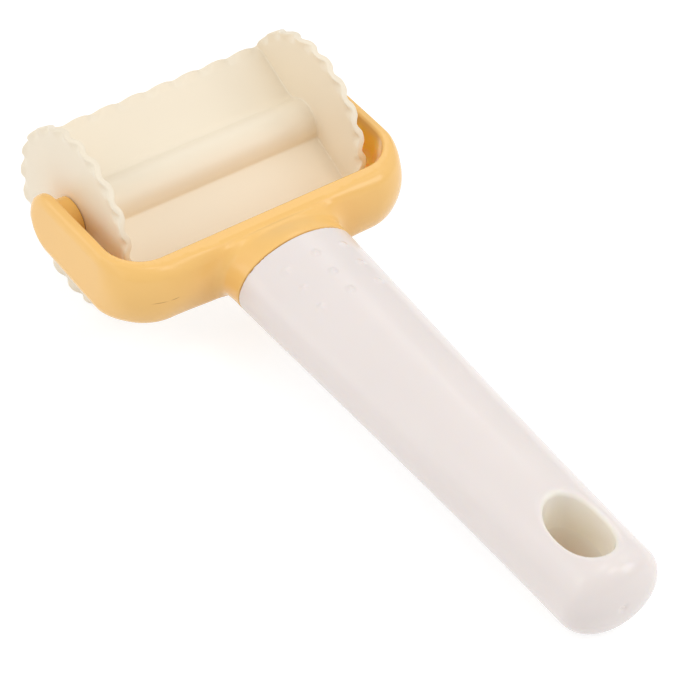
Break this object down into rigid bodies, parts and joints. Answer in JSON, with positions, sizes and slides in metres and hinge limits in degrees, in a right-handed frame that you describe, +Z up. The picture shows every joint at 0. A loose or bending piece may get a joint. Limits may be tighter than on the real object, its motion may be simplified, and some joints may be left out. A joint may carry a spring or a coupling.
{
  "type": "cookie cutter",
  "caption": "Rolling cookie cutter: wavy-edged blades and end discs turn in a plastic fork on a rounded oval handle with a hanging hole.",
  "frame": {"origin": "on the surface that the tool lies on, under the middle of its box", "axes": "+Z up; +X along the roller's axis; the roller is towards +Y and the handle's end towards -Y"},
  "size_m": [0.0812, 0.1804, 0.044],
  "materials": {
    "yellow_plastic": "warm yellow moulded plastic, softly glossy",
    "white_plastic": "warm off-white moulded plastic, satin",
    "cream_plastic": "cream moulded plastic, satin and slightly translucent at thin edges"
  },
  "bodies": {
    "holder": {"yoke": "yellow_plastic", "handle_shell": "white_plastic"},
    "roller": {"cutter_core": "cream_plastic", "end_disc_left": "cream_plastic", "end_disc_right": "cream_plastic"}
  },
  "joints": [
    {"name": "roller_spin", "type": "hinge", "parent": "holder", "child": "roller", "pos_m": [0, 0.06825, 0.022], "axis": [1, 0, 0], "continuous": true}
  ]
}
